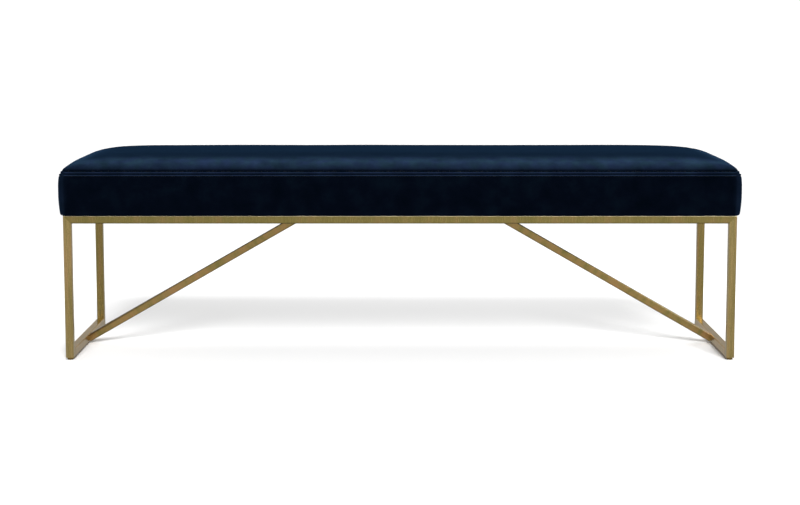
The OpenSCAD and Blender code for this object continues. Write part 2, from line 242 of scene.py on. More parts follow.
def brushed_brass(name, centre, turn, seed, brushing):
    """Brass-plated steel, satin-brushed with a belt and lacquered: hairlines, olive and brown clouds in its tone, a few
    marks where the belt was set down, and paler upper edges, partly worn by the belt and partly a painted highlight.
    centre and turn bring the tube's length onto X. brushing gives the tones, the clouds' length and width, whether the
    belt crossed the tube, how pale its upper edges are, the range of roughness, the tint of what it reflects at a
    glancing angle, and how much painted shade darkens its upper face."""
    material, tree = new_material(name)
    place = add(tree, "TexCoord").outputs["Object"]
    tube = add(tree, "Mapping", {"Vector": place, "Location": centre, "Rotation": turn}, vector_type="TEXTURE")
    # Hairlines are 0.05 mm wide and are drawn 0.5 mm wide, so that they show.
    drawn = add(tree, "Mapping", {"Vector": tube.outputs["Vector"],
                                  "Scale": (1, 1 / 60, 1 / 60) if brushing.crosswise else (1 / 60, 1, 1)})
    lines = add(tree, "TexNoise", {"Vector": drawn.outputs["Vector"], "W": seed, "Scale": 1 / (0.5 * MM),
                                   "Detail": 3.0}, noise_dimensions="4D")
    length, width = brushing.clouds
    spread = add(tree, "Mapping", {"Vector": tube.outputs["Vector"],
                                   "Scale": (1 / (length * MM), 1 / (width * MM), 1 / (width * MM))})
    clouds = add(tree, "TexNoise", {"Vector": spread.outputs["Vector"], "W": seed, "Scale": 1.0, "Detail": 3.0,
                                    "Roughness": 0.5}, noise_dimensions="4D")
    colour = add(tree, "ValToRGB", {"Fac": clouds.outputs["Fac"]}, stops=zip((0.34, 0.5, 0.66), brushing.tones))
    # Belt marks, 2 mm wide
    marks = add(tree, "TexNoise", {"Vector": drawn.outputs["Vector"], "W": seed + 5, "Scale": 1 / (5 * MM),
                                   "Detail": 0.0}, noise_dimensions="4D")
    struck = add(tree, "MapRange", {"Value": marks.outputs["Fac"], "From Min": 0.66, "From Max": 0.76,
                                    "To Min": 0.0, "To Max": 0.3})
    marked = add(tree, "Mix", {0: struck.outputs["Result"], 6: colour.outputs["Color"], 7: srgb("b9ab84")},
                 data_type="RGBA")

    # The two upper edges are paler, partly worn by the belt and partly a painted highlight. They lie where both
    # distances from the tube's axis are large.
    across = add(tree, "SeparateXYZ", {"Vector": tube.outputs["Vector"]})
    out_y = add(tree, "Math", {0: across.outputs["Y"]}, operation="ABSOLUTE")
    corner = add(tree, "Math", {0: out_y.outputs["Value"], 1: across.outputs["Z"]}, operation="MINIMUM")
    rubbed = add(tree, "MapRange", {"Value": corner.outputs["Value"], "From Min": TUBE / 2 - 2.4 * MM,
                                    "From Max": TUBE / 2 - 0.8 * MM, "To Min": 0.0, "To Max": brushing.rubbed})
    worn_and_highlit = add(tree, "Mix", {0: rubbed.outputs["Result"], 6: marked.outputs[2], 7: srgb("e4e0d6")},
               data_type="RGBA")
    # Painted shade darkens the upper face, as much as brushing gives.
    upper = add(tree, "MapRange", {"Value": across.outputs["Z"], "From Min": TUBE / 2 - 3 * MM,
                                   "From Max": TUBE / 2 - 1.8 * MM, "To Min": 0.0, "To Max": brushing.tarnish})
    toned = add(tree, "Mix", {0: upper.outputs["Result"], 6: worn_and_highlit.outputs[2], 7: srgb("1a1207")}, data_type="RGBA")
    rough = add(tree, "MapRange", {"Value": lines.outputs["Fac"], "From Min": 0.3, "From Max": 0.7,
                                   "To Min": brushing.shiny[0], "To Max": brushing.shiny[1]})
    # The paler upper edges are duller, so that their line of light is even.
    dull = add(tree, "Math", {0: rubbed.outputs["Result"], 1: 0.45, 2: rough.outputs["Result"]},
               operation="MULTIPLY_ADD")
    bump = add(tree, "Bump", {"Height": lines.outputs["Fac"], "Strength": 0.06, "Distance": 0.05 * MM})
    metal = add(tree, "BsdfPrincipled", {
        "Base Color": toned.outputs[2], "Metallic": 1.0, "Roughness": dull.outputs["Value"],
        "Specular Tint": srgb(brushing.glancing), "Normal": bump.outputs["Normal"]})
    add(tree, "OutputMaterial", {"Surface": metal.outputs["BSDF"]})
    return material


def cotton_velvet(name):
    """Cotton velvet, dyed navy: nearly black seen straight on, with a blue sheen where its pile is seen from the side.
    Where the cloth turns over an edge, a painted highlight, a lighter blue, is mixed into its colour as far as a vertex
    attribute gives, and the pile lies in soft patches where it was stroked."""
    material, tree = new_material(name)
    place = add(tree, "TexCoord").outputs["Object"]
    splay = add(tree, "Attribute", attribute_name="painted_pile_highlight")
    strokes = add(tree, "TexNoise", {"Vector": place, "Scale": 1 / (42 * MM), "Detail": 4.0, "Roughness": 0.6})
    drift = add(tree, "TexNoise", {"Vector": place, "W": 3.0, "Scale": 1 / (28 * MM), "Detail": 2.0},
                noise_dimensions="4D")
    # Pile tufts are 0.3 mm apart and are drawn 1.2 mm apart, so that they show.
    pile = add(tree, "TexNoise", {"Vector": place, "Scale": 1 / (1.2 * MM), "Detail": 2.0})
    deep = add(tree, "ValToRGB", {"Fac": strokes.outputs["Fac"]},
               stops=[(0.3, "010307"), (0.5, "02040a"), (0.7, "03070e")])
    # The painted highlight is bluer low on the roll, and greyer above.
    at = add(tree, "SeparateXYZ", {"Vector": place})
    low = add(tree, "MapRange", {"Value": at.outputs["Z"], "From Min": STITCH_Z + 16 * MM, "From Max": STITCH_Z,
                                 "To Min": -0.05, "To Max": 0.15})
    hue = add(tree, "Math", {0: drift.outputs["Fac"], 1: low.outputs["Result"]}, operation="ADD")
    highlight_colour = add(tree, "ValToRGB", {"Fac": hue.outputs["Value"]},
              stops=[(0.35, "1d2f3e"), (0.5, "1d2c40"), (0.65, "1d2a42")])
    # Painted highlight: the lighter blue is mixed into the dark dye as far as the vertex attribute gives, in patches.
    patchy = add(tree, "MapRange", {"Value": strokes.outputs["Fac"], "From Min": 0.3, "From Max": 0.7,
                                    "To Min": 0.6, "To Max": 1.2})
    share = add(tree, "Math", {0: splay.outputs["Fac"], 1: patchy.outputs["Result"]}, operation="MULTIPLY",
                use_clamp=True)
    colour = add(tree, "Mix", {0: share.outputs["Value"], 6: deep.outputs["Color"], 7: highlight_colour.outputs["Color"]},
                 data_type="RGBA")
    rough = add(tree, "MapRange", {"Value": strokes.outputs["Fac"], "From Min": 0.3, "From Max": 0.7,
                                   "To Min": 0.74, "To Max": 0.62})
    bump = add(tree, "Bump", {"Height": pile.outputs["Fac"], "Strength": 0.25, "Distance": 0.3 * MM})
    cloth = add(tree, "BsdfPrincipled", {
        "Base Color": colour.outputs[2], "Roughness": rough.outputs["Result"], "IOR": 1.45,
        "Specular IOR Level": 0.0, "Sheen Weight": 0.335, "Sheen Roughness": 0.4,
        "Sheen Tint": srgb("2e5074"), "Normal": bump.outputs["Normal"]})
    add(tree, "OutputMaterial", {"Surface": cloth.outputs["BSDF"]})
    return material


def grained(name, colours, roughness, metallic=0.0, grain=1.0, depth=0.1):
    """A surface with a fine grain in its tone, gloss and relief. grain and depth are in millimetres."""
    material, tree = new_material(name)
    place = add(tree, "TexCoord").outputs["Object"]
    fine = add(tree, "TexNoise", {"Vector": place, "Scale": 1 / (grain * MM), "Detail": 3.0})
    tone = add(tree, "ValToRGB", {"Fac": fine.outputs["Fac"]}, stops=zip((0.3, 0.7), colours))
    rough = add(tree, "MapRange", {"Value": fine.outputs["Fac"], "From Min": 0.3, "From Max": 0.7,
                                   "To Min": roughness - 0.05, "To Max": roughness + 0.05})
    bump = add(tree, "Bump", {"Height": fine.outputs["Fac"], "Strength": 0.5, "Distance": depth * MM})
    surface = add(tree, "BsdfPrincipled", {
        "Base Color": tone.outputs["Color"], "Roughness": rough.outputs["Result"], "Metallic": metallic,
        "Normal": bump.outputs["Normal"]})
    add(tree, "OutputMaterial", {"Surface": surface.outputs["BSDF"]})
    return material


def floor_paper(name):
    """Matt white background paper with a faint tooth. It is greyer behind the bench, under the softbox, so that the
    floor looks even."""
    material, tree = new_material(name)
    place = add(tree, "TexCoord").outputs["Object"]
    tooth = add(tree, "TexNoise", {"Vector": place, "Scale": 1 / (400 * MM), "Detail": 3.0})
    rough = add(tree, "MapRange", {"Value": tooth.outputs["Fac"], "To Min": 0.85, "To Max": 0.95})
    back = add(tree, "SeparateXYZ", {"Vector": place})
    far = add(tree, "MapRange", {"Value": back.outputs["Y"], "From Min": 0.0, "From Max": 8.0})
    tone = add(tree, "ValToRGB", {"Fac": far.outputs["Result"]},
               stops=[(0.1, "efefef"), (0.16, "d9d9d9"), (0.34, "dcdcdc"), (0.6, "efefef")])
    paper = add(tree, "BsdfPrincipled", {"Base Color": tone.outputs["Color"], "Roughness": rough.outputs["Result"]})
    add(tree, "OutputMaterial", {"Surface": paper.outputs["BSDF"]})
    return material


def birch_plywood(name, bottom, ply):
    """Birch plywood: thin plies, light and dark by turns as their grain runs along and across, show at its edge, and
    its faces have a long, faint grain."""
    material, tree = new_material(name)
    place = add(tree, "TexCoord").outputs["Object"]
    at = add(tree, "SeparateXYZ", {"Vector": place})
    up = add(tree, "Math", {0: at.outputs["Z"], 1: bottom}, operation="SUBTRACT")
    plies = add(tree, "Math", {0: up.outputs["Value"], 1: 2 * ply}, operation="DIVIDE")
    turn = add(tree, "Math", {0: plies.outputs["Value"]}, operation="FRACT")
    edge = add(tree, "ValToRGB", {"Fac": turn.outputs["Value"]},
               stops=[(0.0, "c9a872"), (0.46, "c9a872"), (0.5, "7f5d33"), (0.54, "a9834d"), (0.97, "a9834d")])
    # Grain lines 1.5 mm apart, 80 mm long
    along = add(tree, "Mapping", {"Vector": place, "Scale": (1 / 50, 1, 1)})
    grain = add(tree, "TexNoise", {"Vector": along.outputs["Vector"], "Scale": 1 / (1.5 * MM), "Detail": 4.0})
    face = add(tree, "ValToRGB", {"Fac": grain.outputs["Fac"]}, stops=[(0.35, "b8925c"), (0.65, "d2b384")])
    facing = add(tree, "SeparateXYZ", {"Vector": add(tree, "NewGeometry").outputs["Normal"]})
    level = add(tree, "Math", {0: facing.outputs["Z"]}, operation="ABSOLUTE")
    flat = add(tree, "Math", {0: level.outputs["Value"], 1: 0.9}, operation="GREATER_THAN")
    colour = add(tree, "Mix", {0: flat.outputs["Value"], 6: edge.outputs["Color"], 7: face.outputs["Color"]},
                 data_type="RGBA")
    bump = add(tree, "Bump", {"Height": grain.outputs["Fac"], "Strength": 0.4, "Distance": 0.1 * MM})
    wood = add(tree, "BsdfPrincipled", {"Base Color": colour.outputs[2], "Roughness": 0.6,
                                        "Normal": bump.outputs["Normal"]})
    add(tree, "OutputMaterial", {"Surface": wood.outputs["BSDF"]})
    return material


def open_foam(name):
    """Cut polyurethane foam, cream, with open cells. They are 0.6 mm across and are drawn 1.5 mm across."""
    material, tree = new_material(name)
    place = add(tree, "TexCoord").outputs["Object"]
    cells = add(tree, "TexVoronoi", {"Vector": place, "Scale": 1 / (1.5 * MM)})
    colour = add(tree, "ValToRGB", {"Fac": cells.outputs["Distance"]}, stops=[(0.2, "c7b98b"), (0.6, "ece3c2")])
    bump = add(tree, "Bump", {"Height": cells.outputs["Distance"], "Strength": 0.7, "Distance": 0.4 * MM})
    cut = add(tree, "BsdfPrincipled", {"Base Color": colour.outputs["Color"], "Roughness": 0.95,
                                       "Normal": bump.outputs["Normal"]})
    add(tree, "OutputMaterial", {"Surface": cut.outputs["BSDF"]})
    return material


def spunbonded_cloth(name):
    """Black non-woven cloth, pressed from loose fibres: a dull face, with small shinier dots where hot pins have
    bonded it. The dots are 1 mm apart and are drawn 3 mm apart."""
    material, tree = new_material(name)
    place = add(tree, "TexCoord").outputs["Object"]
    dots = add(tree, "TexVoronoi", {"Vector": place, "Scale": 1 / (3 * MM), "Randomness": 0.15})
    fibres = add(tree, "TexNoise", {"Vector": place, "Scale": 1 / (2 * MM), "Detail": 5.0, "Distortion": 1.5})
    bonded = add(tree, "MapRange", {"Value": dots.outputs["Distance"], "From Min": 0.15, "From Max": 0.3,
                                    "To Min": 0.45, "To Max": 0.9})
    colour = add(tree, "ValToRGB", {"Fac": fibres.outputs["Fac"]}, stops=[(0.35, "0a0a0b"), (0.65, "1b1b1d")])
    height = add(tree, "Math", {0: dots.outputs["Distance"], 1: fibres.outputs["Fac"]}, operation="ADD")
    bump = add(tree, "Bump", {"Height": height.outputs["Value"], "Strength": 0.5, "Distance": 0.15 * MM})
    cloth = add(tree, "BsdfPrincipled", {"Base Color": colour.outputs["Color"],
                                         "Roughness": bonded.outputs["Result"], "Normal": bump.outputs["Normal"]})
    add(tree, "OutputMaterial", {"Surface": cloth.outputs["BSDF"]})
    return material


def finish_node(name, material):
    """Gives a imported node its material."""
    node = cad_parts[name]
    node.data.materials.clear()
    node.data.materials.append(material)


def mesh_piece(name, bm, material, body=BODY, smooth=True):
    """An object made of bm, which rides on a body."""
    mesh = bpy.data.meshes.new(name)
    bm.to_mesh(mesh)
    bm.free()
    if smooth:
        mesh.shade_smooth()
    piece = bpy.data.objects.new(name, mesh)
    bpy.context.scene.collection.objects.link(piece)
    mesh.materials.append(material)
    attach(piece, body)
    return piece


# The seat's layers are grids wrapped round the cushion. Columns are counted round its outline, and rows up its profile.
# A row is drawn in from the outermost line by its inset, and its corners have its radius. Its height is given, or the
# crown gives it from the row's run, which is how far the row lies inside the upper stitching.

# A row's last value is its share of the velvet's painted highlight.
Row = namedtuple("Row", "inset radius height run splay", defaults=(None, None, 0.0))
COLUMNS = 2 * (LONG_COLUMNS + SHORT_COLUMNS) + 4 * CORNER_COLUMNS


def outline_point(column, inset, radius):
    """Place on the rounded rectangle that lies inset inside the cushion's outermost line."""
    x = HALF_L - inset - radius
    y = HALF_W - inset - radius
    step = column % COLUMNS
    for count, side_x, side_y, turn in [(SHORT_COLUMNS, x, -y, 0), (LONG_COLUMNS, x, y, 90),
                                        (SHORT_COLUMNS, -x, y, 180), (LONG_COLUMNS, -x, -y, 270)]:
        a = math.radians(turn)
        out = Vector((math.cos(a), math.sin(a)))
        ahead = Vector((-out.y, out.x))
        length = 2 * (y if turn % 180 == 0 else x)
        start = Vector((side_x, side_y))
        if step < count:
            return start + out * radius + ahead * (length * step / count)
        step -= count
        if step < CORNER_COLUMNS:
            b = a + math.pi / 2 * step / CORNER_COLUMNS
            return start + ahead * length + Vector((math.cos(b), math.sin(b))) * radius
        step -= CORNER_COLUMNS
    raise ValueError("no such column")


def near_corner(p):
    """1 round an upright corner of the cushion, where the band has an even painted highlight, and 0 along its sides."""
    return min(1, max(0, min(abs(p.x) - HALF_L, abs(p.y) - HALF_W) + CORNER_IN) / CORNER_EASE)


def band_inset(height):
    """How far the side band is drawn in at a height above the underside of the seat. It is fuller above its middle."""
    share = 2 * height / BAND_H - 1
    return BAND_BULGE * (share ** 2 if share < 0 else share ** 4)


def roll_share(run):
    """Height of the crown's roll at run inside the upper stitching, as a share of the full roll."""
    return (1 - (1 - min(run / ROLL_W, 1)) ** ROLL_ROUND) ** (1 / ROLL_ROUND)


def crown(p, run):
    """Height above the upper row of stitching at p, which lies run inside that row."""
    dome = (1 - min(abs(p.x / CROWN_L), 1) ** CROWN_FLAT_X) * (1 - min(abs(p.y / CROWN_W), 1) ** CROWN_FLAT_Y)
    return roll_share(run) * (ROLL_H + CROWN_H * dome)


def half_ellipse(share):
    """Height of a half ellipse of height 1 over a base that share goes along, from 0 to 1."""
    return math.sqrt(max(0, 1 - (2 * share - 1) ** 2))


def eased(count):
    """Shares from 0 to 1, closer together at both ends."""
    return [(1 - math.cos(math.pi * i / count)) / 2 for i in range(count + 1)]


def crown_runs(roll_steps, top_steps, spread=1.0):
    """Runs from the upper stitching over the roll, closer together at its foot, and on to the cushion's middle."""
    over = [ROLL_W * (1 - math.cos(math.pi / 2 * i / roll_steps)) for i in range(roll_steps + 1)]
    return over + [ROLL_W + (CROWN_W - ROLL_W) * (i / top_steps) ** spread for i in range(1, top_steps + 1)]


def crown_row(run, splay=0.0):
    """The row of the crown that lies run inside the upper stitching."""
    return Row(STITCH_E + run, min(CORNER_R, HALF_W - STITCH_E - run), run=run, splay=splay)


def band_rows():
    """Profile of the side band, from its turned-under edge round the deck's edge and up to the seam. It lies flat on
    the frame, and sags a little outside it."""
    rows = []
    base = band_inset(BAND_ROLL)
    edge = BAND_BULGE + TURN_UNDER
    frame_edge = HALF_W - FRAME_W / 2
    for i in range(UNDER_STEPS + 1):
        rows.append(Row(edge + (frame_edge - edge) * i / UNDER_STEPS, CORNER_R - BAND_ROLL, 0))
    for i in range(EDGE_STEPS + 1):
        a = math.pi / 2 * i / EDGE_STEPS
        draw = BAND_ROLL * (1 - math.sin(a))
        sag = BAND_SAG * math.cos(a) ** 4
        rows.append(Row(base + draw, CORNER_R - draw, BAND_ROLL * (1 - math.cos(a)) - sag))
    low_end = LOW_STITCH_H - GROOVE_W
    for i in range(1, SIDE_STEPS + 1):
        h = BAND_ROLL + (low_end - BAND_ROLL) * i / SIDE_STEPS
        rows.append(Row(band_inset(h), CORNER_R, h))
    for i in range(1, GROOVE_STEPS + 1):
        share = i / GROOVE_STEPS
        h = low_end + GROOVE_W * share
        rows.append(Row(band_inset(h) + GROOVE * share ** 2, CORNER_R, h))
    low = band_inset(LOW_STITCH_H) + GROOVE
    # The puff below the seam carries a painted highlight.
    for share in eased(SEAM_STEPS)[1:]:
        e = low + (SEAM_E + GROOVE - low) * share
        out = SEAM_PUFF * half_ellipse(share) + GROOVE * math.sin(math.pi * share)
        rows.append(Row(e - out, CORNER_R, LOW_STITCH_H + STITCH_OFF * share, splay=seam_highlight(share, *LOWER_SEAM_HIGHLIGHT)))
    for i in range(1, TUCK_STEPS + 1):
        rows.append(Row(SEAM_E + GROOVE + SEAM_TUCK * i / TUCK_STEPS, CORNER_R, BAND_H - TUCK_GAP * i))
    return rows


def seam_highlight(share, middle, most):
    """How much painted highlight lies between the seam and a row of stitches, at a share of the way up."""
    return most * math.exp(-((share - middle) / SEAM_HIGHLIGHT_W) ** 2)


def roll_highlight(run):
    """How much painted highlight lies over the roll of the crown: most where the cloth turns from upright to level, and
    none at the stitching."""
    width = ROLL_HIGHLIGHT_BELOW if run < ROLL_W else ROLL_HIGHLIGHT_ABOVE
    past = run - ROLL_W - ROLL_HIGHLIGHT_AT
    return ROLL_HIGHLIGHT * math.exp(-(past / width) ** 2) * min(1, run / STITCH_SHADE)


def top_rows():
    """Profile of the top panel, from its tucked edge over the roll to the middle."""
    rows = []
    for i in range(TUCK_STEPS, 0, -1):
        rows.append(Row(SEAM_E + GROOVE + SEAM_TUCK * i / TUCK_STEPS, CORNER_R, BAND_H + TUCK_GAP * i))
    start = SEAM_E + GROOVE
    end = STITCH_E + GROOVE
    out = Vector((-STITCH_OFF, SHOULDER)).normalized()
    # The puff above the seam carries a painted highlight, and so do the crown's rows over the roll.
    for share in eased(SEAM_STEPS):
        e = start + (end - start) * share
        lift = SEAM_PUFF * half_ellipse(share) + GROOVE * math.sin(math.pi * share)
        rows.append(Row(e + out.x * lift, CORNER_R, BAND_H + STITCH_OFF * share + out.y * lift,
                        splay=seam_highlight(share, *UPPER_SEAM_HIGHLIGHT)))
    return rows + [crown_row(run, roll_highlight(run)) for run in crown_runs(ROLL_STEPS, TOP_STEPS, spread=1.3)[1:]]


def cover_place(column, row):
    """Place of a row's point at a column on the cover's outer face."""
    p = outline_point(column, row.inset, row.radius)
    if row.run is None:
        return Vector((p.x, p.y, SEAT_Z + row.height))
    return Vector((p.x, p.y, STITCH_Z + crown(p, row.run)))


def layer_place(depth):
    """Like cover_place, for a layer that lies depth under the cover's outer face."""
    def place(column, row):
        inset = min(row.inset + depth, HALF_W)
        p = outline_point(column, inset, max(0, min(row.radius - depth, HALF_W - inset)))
        lift = STITCH_Z - depth + crown(p, row.run) if row.run is not None else SEAT_Z + row.height
        return Vector((p.x, p.y, lift))
    return place


def layer_rows(foot, depth):
    """Profile of the foam, or of the batting round it, from the deck up its side and over the top."""
    side = LOW_STITCH_H - depth
    heights = [foot + 0.5 * MM * i for i in range(3)] + [foot + (side - foot) * i / 10 for i in range(1, 11)]
    rows = [Row(band_inset(h), CORNER_R, h) for h in heights]
    rows.append(Row(SEAM_E, CORNER_R, BAND_H - depth))
    rows.append(Row((SEAM_E + STITCH_E) / 2, CORNER_R, BAND_H + STITCH_OFF / 2 - depth))
    return rows + [crown_row(run) for run in crown_runs(roll_steps=7, top_steps=12)]


def wrapped_grid(rows, place):
    """A grid with a column for each step round the outline and a row for each of rows, closed at its seams."""
    bm = bmesh.new()
    splay = bm.verts.layers.float.new("painted_pile_highlight")
    bmesh.ops.create_grid(bm, x_segments=COLUMNS, y_segments=len(rows) - 1, size=1)
    for v in bm.verts:
        column = round((v.co.x + 1) / 2 * COLUMNS)
        row = rows[round((v.co.y + 1) / 2 * (len(rows) - 1))]
        v.co = place(column, row)
        # Each point takes its row's painted highlight, and round the band's upright corners an even painted highlight.
        turned = near_corner(v.co) if row.run is None else 0
        v[splay] = row.splay * (1 - turned) + CORNER_HIGHLIGHT * turned
    bmesh.ops.remove_doubles(bm, verts=bm.verts, dist=0.01 * MM)
    bmesh.ops.dissolve_degenerate(bm, edges=bm.edges, dist=0.01 * MM)
    bmesh.ops.recalc_face_normals(bm, faces=bm.faces)
    return bm


def add_copy(bm, single):
    """Adds a small bmesh to a large one, and frees it."""
    mesh = bpy.data.meshes.new("copy")
    single.to_mesh(mesh)
    single.free()
    bm.from_mesh(mesh)
    bpy.data.meshes.remove(mesh)


def close_holes(bm):
    """Fills the open edges of a grid and turns its faces outwards."""
    bmesh.ops.holes_fill(bm, edges=[e for e in bm.edges if e.is_boundary], sides=0)
    bmesh.ops.recalc_face_normals(bm, faces=bm.faces)


def thicken(piece, thickness):
    """Gives a cloth its thickness, inwards from its outer face."""
    wall = piece.modifiers.new("Thickness", "SOLIDIFY")
    wall.thickness = thickness
    wall.offset = -1
    wall.use_rim = True


def foam_block():
    """The block of foam, glued to the deck, with its underside closed."""
    depth = COVER_T_CAD + BATTING_T + 2 * SOFT_GAP
    foot = DECK_HIGH.z - SEAT_Z
    bm = wrapped_grid(layer_rows(foot, depth), layer_place(depth))
    open_edges = [e for e in bm.edges if e.is_boundary]
    rim = bmesh.ops.extrude_edge_only(bm, edges=open_edges)["geom"]
    rim_verts = [g for g in rim if isinstance(g, bmesh.types.BMVert)]
    # A narrow rim and one large face close the underside.
    rim_scale = (0.995, 0.985, 1)
    bmesh.ops.scale(bm, vec=rim_scale, verts=rim_verts)
    close_holes(bm)
    piece = mesh_piece("foam_block", bm, open_foam("polyurethane_foam"))
    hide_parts("foam_core")


def batting_layer():
    """The wadding that is wrapped round the foam, with the small hills and hollows of loose fibre."""
    # It lies deeper than the solid, clear of the grooves that the stitches draw into the cover, and is thinner.
    depth = COVER_T_CAD + SOFT_GAP + 0.6 * MM
    foot = DECK_HIGH.z - SEAT_Z + SOFT_GAP
    bm = wrapped_grid(layer_rows(foot, depth), layer_place(depth))
    bm.normal_update()
    hill, hill_l = 0.35 * MM, 25 * MM
    for v in bm.verts:
        v.co -= v.normal * (hill * (1 + noise.noise(v.co / hill_l)))
    piece = mesh_piece("batting_layer", bm, grained("polyester_wadding", ("d2d2cf", "f4f4f2"), 0.95, grain=2.5,
                                                    depth=0.8))
    thicken(piece, BATTING_T - 2 * MM)
    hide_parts("batting_wrap")


def plain_rows():
    """Profile of the whole cushion without its seam: up the side band and over the crown."""
    base = band_inset(BAND_ROLL)
    rows = []
    for i in range(6):
        a = math.pi / 2 * i / 5
        draw = BAND_ROLL * (1 - math.sin(a))
        rows.append(Row(base + draw, CORNER_R - draw, BAND_ROLL * (1 - math.cos(a))))
    for i in range(1, 13):
        h = BAND_ROLL + (BAND_H - BAND_ROLL) * i / 12
        rows.append(Row(band_inset(h), CORNER_R, h))
    return rows + [crown_row(run) for run in crown_runs(roll_steps=8, top_steps=20)]


def plumped():
    """Blows the closed cushion up with Blender's cloth, from a form that is smaller by SWELL, and returns a function
    that gives how far any point of the cover moves. The seam, the stitching and the turned-under edge are held.
    Elsewhere the foam holds the cloth back like a spring, softer in some places than in others."""
    scene = bpy.context.scene
    bm = wrapped_grid(plain_rows(), layer_place(SWELL))
    close_holes(bm)
    mesh = bpy.data.meshes.new("closed_cushion")
    bm.to_mesh(mesh)
    bm.free()
    closed = bpy.data.objects.new("closed_cushion", mesh)
    scene.collection.objects.link(closed)
    voxels = closed.modifiers.new("Voxels", "REMESH")
    voxels.mode = "VOXEL"
    voxels.voxel_size = VOXEL
    even = bpy.data.meshes.new_from_object(closed.evaluated_get(bpy.context.evaluated_depsgraph_get()))
    closed.modifiers.clear()
    closed.data = even
    rest = [v.co.copy() for v in even.vertices]

    hold = closed.vertex_groups.new(name="hold")
    for number, p in enumerate(rest):
        sewn = p.z < SEAT_Z + SEWN or abs(p.z - SEAM_Z) < SEWN
        hold.add([number], 1.0 if sewn else HOLD + HOLD_DRIFT * noise.noise(p / HOLD_PATCH), "REPLACE")
    cloth = closed.modifiers.new("Plump", "CLOTH")
    cloth.settings.quality = CLOTH_QUALITY
    cloth.settings.use_pressure = True
    cloth.settings.uniform_pressure_force = PRESSURE
    cloth.settings.vertex_group_mass = hold.name
    cloth.settings.effector_weights.gravity = 0
    cloth.point_cache.frame_start, cloth.point_cache.frame_end = 1, CLOTH_FRAMES
    for step in range(1, CLOTH_FRAMES + 1):
        scene.frame_set(step)
    blown = closed.evaluated_get(bpy.context.evaluated_depsgraph_get()).to_mesh()
    moved = [b.co - a for a, b in zip(rest, blown.vertices)]
    scene.frame_set(1)

    faces = [list(face.vertices) for face in even.polygons]
    near = BVHTree.FromPolygons(rest, faces)
    bpy.data.objects.remove(closed)

    def swell(p):
        q, out, face, _ = near.find_nearest(p)
        shares = [(1 / ((rest[v] - q).length + 0.1 * MM), v) for v in faces[face]]
        push = sum(share * moved[v].dot(out) for share, v in shares) / sum(share for share, v in shares)
        free = min(1, max(0, abs(p.z - SEAM_Z) - SEWN) / SEWN_EASE, max(0, p.z - SEAT_Z - SEWN) / SEWN_EASE)
        return out * (max(-SINK_MOST, min(SWELL_MOST, push - SWELL)) * free)
    return swell


def velvet_cover():
    """The sewn cover: a side band and a top panel, both turned in at the seam."""
    velvet = cotton_velvet("navy_velvet")
    swell = plumped()

    def place(column, row):
        p = cover_place(column, row)
        return p + swell(p) if swell else p

    for name, rows, node in [("velvet_side_band", band_rows(), "cover_band"),
                             ("velvet_top_panel", top_rows(), "cover_top_panel")]:
        piece = mesh_piece(name, wrapped_grid(rows, place), velvet)
        thicken(piece, COVER_T)
        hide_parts(node)


def stitch_row(name, inset, height, material):
    """A row of top-stitching round the cushion. Each stitch is a short, thick thread that dips at both ends."""
    points = [outline_point(c, inset, CORNER_R) for c in range(COLUMNS + 1)]
    lengths = [(b - a).length for a, b in zip(points, points[1:])]
    count = round(sum(lengths) / STITCH_L)
    step = sum(lengths) / count
    bm = bmesh.new()
    travelled, edge = 0.0, 0
    for k in range(count):
        goal = (k + 0.5) * step
        while travelled + lengths[edge] < goal:
            travelled += lengths[edge]
            edge += 1
        ahead = (points[edge + 1] - points[edge]).normalized()
        p = points[edge] + ahead * (goal - travelled)
        lay = Matrix.Translation((p.x, p.y, height)) @ Matrix.Rotation(math.atan2(ahead.y, ahead.x), 4, "Z")
        slim = Matrix.Diagonal((step * 0.45, THREAD / 2, THREAD / 2, 1)) @ Matrix.Rotation(math.pi / 2, 4, "Y")
        stitch = bmesh.new()
        bmesh.ops.create_uvsphere(stitch, u_segments=6, v_segments=4, radius=1, matrix=lay @ slim)
        add_copy(bm, stitch)
    mesh_piece(name, bm, material)


def dust_sheet(material):
    """The black cloth under the seat, stretched over its underside. It sags a little between the rails, and the seat
    screws pass through holes in it."""
    low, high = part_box("dust_cover")
    half_l, half_w = high.x, high.y
    bm = bmesh.new()
    bmesh.ops.create_grid(bm, x_segments=120, y_segments=48, size=1)
    bmesh.ops.scale(bm, vec=(half_l, half_w, 1), verts=bm.verts)
    for v in bm.verts:
        v.co.z = low.z + DUST_T - sheet_sag(v.co)
    screws = [Vector((x, y)) for x in SCREW_X for y in (-SCREW_Y, SCREW_Y)]
    holes = []
    for screw in screws:
        near = min(bm.verts, key=lambda v: (v.co.x - screw.x) ** 2 + (v.co.y - screw.y) ** 2)
        near.co.x, near.co.y = screw
        holes.append(near)
    bmesh.ops.bevel(bm, geom=holes, affect="VERTICES", offset=SCREW_HOLE_R, segments=3, profile=0.5, material=-1)
    bm.faces.ensure_lookup_table()
    # Each bevel leaves small faces over its hole. Those whose middle lies near the screw are cut out.
    cut = [f for f in bm.faces
           if any((f.calc_center_median().xy - screw).length < SCREW_HOLE_CUT for screw in screws)]
    bmesh.ops.delete(bm, geom=cut, context="FACES")
    bmesh.ops.recalc_face_normals(bm, faces=bm.faces)
    if sum(f.normal.z * f.calc_area() for f in bm.faces) < 0:
        bmesh.ops.reverse_faces(bm, faces=bm.faces)
    piece = mesh_piece("dust_sheet", bm, material)
    thicken(piece, DUST_T)
    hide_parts("dust_cover")


